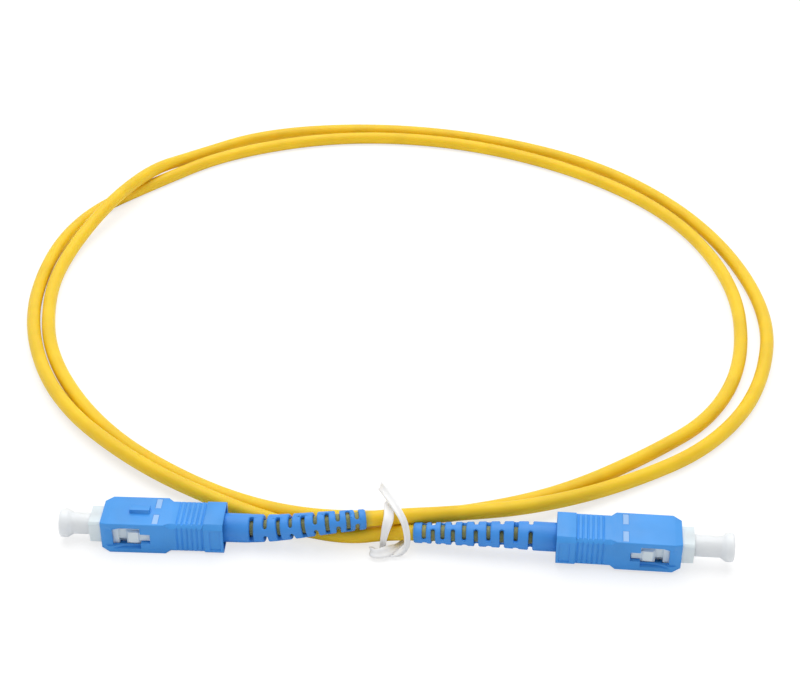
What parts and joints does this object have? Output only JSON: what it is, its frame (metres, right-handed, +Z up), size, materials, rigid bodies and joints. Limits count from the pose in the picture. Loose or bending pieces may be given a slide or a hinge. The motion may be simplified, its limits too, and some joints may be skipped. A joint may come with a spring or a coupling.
{
  "type": "fibre optic patch cable",
  "caption": "Simplex fibre optic patch cable: yellow cord in loose turns held by a twist tie, with blue push-pull plugs, slotted boots and dust caps.",
  "frame": {"origin": "on the table plane, midway between the two plugs' ends", "axes": "+Z up from the table, +X from the left plug to the right plug, +Y towards the back of the coil"},
  "size_m": [0.1817, 0.1934, 0.01],
  "materials": {
    "yellow_jacket": "satin",
    "blue_plastic": "satin",
    "blue_rubber": "soft",
    "white_plastic": "satin",
    "cap_plastic": "translucent",
    "tie_plastic": "gloss",
    "ceramic": "polished",
    "flange_metal": "turned",
    "spring_steel": "drawn wire",
    "stop_metal": "turned",
    "sleeve_metal": "plain",
    "fibre_coating": "satin"
  },
  "bodies": {
    "cord_and_frames": {"cable": "yellow_jacket", "twist_tie": "tie_plastic", "left_plug_frame": "white_plastic", "left_spring": "spring_steel", "left_spring_stop": "stop_metal", "left_crimp_sleeve": "sleeve_metal", "left_buffered_fibre": "fibre_coating", "left_boot": "blue_rubber", "right_plug_frame": "white_plastic", "right_spring": "spring_steel", "right_spring_stop": "stop_metal", "right_crimp_sleeve": "sleeve_metal", "right_buffered_fibre": "fibre_coating", "right_boot": "blue_rubber"},
    "left_grip": {"left_outer_housing": "blue_plastic"},
    "left_ferrule_unit": {"left_ferrule": "ceramic", "left_ferrule_flange": "flange_metal"},
    "left_cap": {"left_dust_cap": "cap_plastic"},
    "right_grip": {"right_outer_housing": "blue_plastic"},
    "right_ferrule_unit": {"right_ferrule": "ceramic", "right_ferrule_flange": "flange_metal"},
    "right_cap": {"right_dust_cap": "cap_plastic"}
  },
  "joints": [
    {"name": "left_grip_pull", "type": "slide", "parent": "cord_and_frames", "child": "left_grip", "axis": [0.9989, -0.0471, 0], "range_m": [0, 0.0018]},
    {"name": "left_ferrule_float", "type": "slide", "parent": "cord_and_frames", "child": "left_ferrule_unit", "axis": [0.9989, -0.0471, 0], "range_m": [0, 0.0012], "stiffness_N_per_m": 1500, "deforming": ["left_spring"]},
    {"name": "left_cap_pull", "type": "slide", "parent": "cord_and_frames", "child": "left_cap", "axis": [-0.9989, 0.0471, 0], "range_m": [0, 0.014]},
    {"name": "right_grip_pull", "type": "slide", "parent": "cord_and_frames", "child": "right_grip", "axis": [-0.9959, 0.0906, 0], "range_m": [0, 0.0018]},
    {"name": "right_ferrule_float", "type": "slide", "parent": "cord_and_frames", "child": "right_ferrule_unit", "axis": [-0.9959, 0.0906, 0], "range_m": [0, 0.0012], "stiffness_N_per_m": 1500, "deforming": ["right_spring"]},
    {"name": "right_cap_pull", "type": "slide", "parent": "cord_and_frames", "child": "right_cap", "axis": [0.9959, -0.0906, 0], "range_m": [0, 0.014]}
  ]
}
